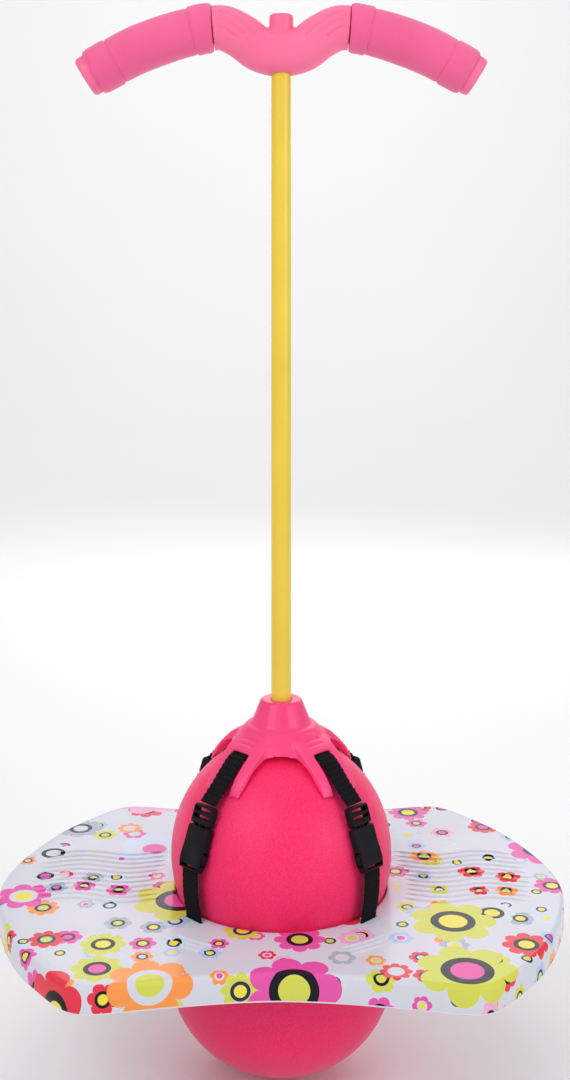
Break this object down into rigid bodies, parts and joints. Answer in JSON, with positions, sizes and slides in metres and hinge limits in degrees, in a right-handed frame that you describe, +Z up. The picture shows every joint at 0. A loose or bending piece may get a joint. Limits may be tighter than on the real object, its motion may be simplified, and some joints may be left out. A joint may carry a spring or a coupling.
{
  "type": "pogo jumping board",
  "caption": "Jumping board with an inflated ball pinched through a wide patterned deck, buckled straps, a crown, an upright pole and a gull-wing handlebar.",
  "frame": {"origin": "on the floor, at the middle of the ball's contact patch and of the whole object seen from above", "axes": "+Z up along the pole, +X to the rider's right along the handlebar, -Y the front"},
  "size_m": [0.532, 0.3928, 1.0055],
  "materials": {
    "ball": "satin fine-grained inflated vinyl",
    "deck": "glossy moulded plastic with a printed flower pattern",
    "crown": "satin moulded plastic",
    "handle": "satin moulded plastic",
    "grip": "matt foam rubber",
    "pole": "satin yellow paint on steel tube",
    "webbing": "woven black webbing",
    "buckle": "satin black moulded plastic",
    "end_plug": "black moulded plastic",
    "valve": "white moulded plastic",
    "steel": "zinc plated steel"
  },
  "bodies": {
    "ball": {"ball": "ball"},
    "frame": {"deck": "deck", "crown": "crown", "crown_screw": "steel", "pole": "pole", "pole_foot_plug": "end_plug", "pole_top_plug": "end_plug", "handlebar": "handle", "handle_screw": "steel", "grip_left": "grip", "grip_right": "grip", "upper_strap_front_left": "webbing", "buckle_clip_front_left": "buckle", "buckle_socket_front_left": "buckle", "lower_strap_front_left": "webbing", "strap_keeper_front_left": "buckle", "upper_strap_front_right": "webbing", "buckle_clip_front_right": "buckle", "buckle_socket_front_right": "buckle", "lower_strap_front_right": "webbing", "strap_keeper_front_right": "buckle", "upper_strap_back_right": "webbing", "buckle_clip_back_right": "buckle", "buckle_socket_back_right": "buckle", "lower_strap_back_right": "webbing", "strap_keeper_back_right": "buckle", "upper_strap_back_left": "webbing", "buckle_clip_back_left": "buckle", "buckle_socket_back_left": "buckle", "lower_strap_back_left": "webbing", "strap_keeper_back_left": "buckle"},
    "valve_plug": {"valve_plug": "valve"},
    "prong_a_front_left": {"prong_a_front_left": "buckle"},
    "prong_b_front_left": {"prong_b_front_left": "buckle"},
    "prong_a_front_right": {"prong_a_front_right": "buckle"},
    "prong_b_front_right": {"prong_b_front_right": "buckle"},
    "prong_a_back_right": {"prong_a_back_right": "buckle"},
    "prong_b_back_right": {"prong_b_back_right": "buckle"},
    "prong_a_back_left": {"prong_a_back_left": "buckle"},
    "prong_b_back_left": {"prong_b_back_left": "buckle"}
  },
  "joints": [
    {"name": "bounce", "type": "slide", "parent": "ball", "child": "frame", "axis": [0, 0, 1], "range_m": [-0.045, 0], "stiffness_N_per_m": 12000, "springref_m": 0.003, "deforming": ["ball"]},
    {"name": "valve_plug_pull", "type": "slide", "parent": "frame", "child": "valve_plug", "axis": [0, 0.9397, 0.342], "range_m": [0, 0.012]},
    {"name": "squeeze_a_front_left", "type": "hinge", "parent": "frame", "child": "prong_a_front_left", "pos_m": [-0.06572, -0.07528, 0.24935], "axis": [0.6729, 0.6498, -0.3535], "range_deg": [0, 7], "stiffness_Nm_per_rad": 0.5, "springref_deg": -1.72},
    {"name": "squeeze_b_front_left", "type": "hinge", "parent": "frame", "child": "prong_b_front_left", "pos_m": [-0.07753, -0.06305, 0.24935], "axis": [-0.6729, -0.6498, 0.3535], "range_deg": [0, 7], "stiffness_Nm_per_rad": 0.5, "springref_deg": -1.72},
    {"name": "squeeze_a_front_right", "type": "hinge", "parent": "frame", "child": "prong_a_front_right", "pos_m": [0.07753, -0.06305, 0.24935], "axis": [-0.6729, 0.6498, -0.3535], "range_deg": [0, 7], "stiffness_Nm_per_rad": 0.5, "springref_deg": -1.72},
    {"name": "squeeze_b_front_right", "type": "hinge", "parent": "frame", "child": "prong_b_front_right", "pos_m": [0.06572, -0.07528, 0.24935], "axis": [0.6729, -0.6498, 0.3535], "range_deg": [0, 7], "stiffness_Nm_per_rad": 0.5, "springref_deg": -1.72},
    {"name": "squeeze_a_back_right", "type": "hinge", "parent": "frame", "child": "prong_a_back_right", "pos_m": [0.06572, 0.07528, 0.24935], "axis": [-0.6729, -0.6498, -0.3535], "range_deg": [0, 7], "stiffness_Nm_per_rad": 0.5, "springref_deg": -1.72},
    {"name": "squeeze_b_back_right", "type": "hinge", "parent": "frame", "child": "prong_b_back_right", "pos_m": [0.07753, 0.06305, 0.24935], "axis": [0.6729, 0.6498, 0.3535], "range_deg": [0, 7], "stiffness_Nm_per_rad": 0.5, "springref_deg": -1.72},
    {"name": "squeeze_a_back_left", "type": "hinge", "parent": "frame", "child": "prong_a_back_left", "pos_m": [-0.07753, 0.06305, 0.24935], "axis": [0.6729, -0.6498, -0.3535], "range_deg": [0, 7], "stiffness_Nm_per_rad": 0.5, "springref_deg": -1.72},
    {"name": "squeeze_b_back_left", "type": "hinge", "parent": "frame", "child": "prong_b_back_left", "pos_m": [-0.06572, 0.07528, 0.24935], "axis": [-0.6729, 0.6498, 0.3535], "range_deg": [0, 7], "stiffness_Nm_per_rad": 0.5, "springref_deg": -1.72}
  ],
  "couplings": [
    {"joint": "squeeze_b_front_left", "follows": "squeeze_a_front_left", "ratio": 1},
    {"joint": "squeeze_b_front_right", "follows": "squeeze_a_front_right", "ratio": 1},
    {"joint": "squeeze_b_back_right", "follows": "squeeze_a_back_right", "ratio": 1},
    {"joint": "squeeze_b_back_left", "follows": "squeeze_a_back_left", "ratio": 1}
  ]
}
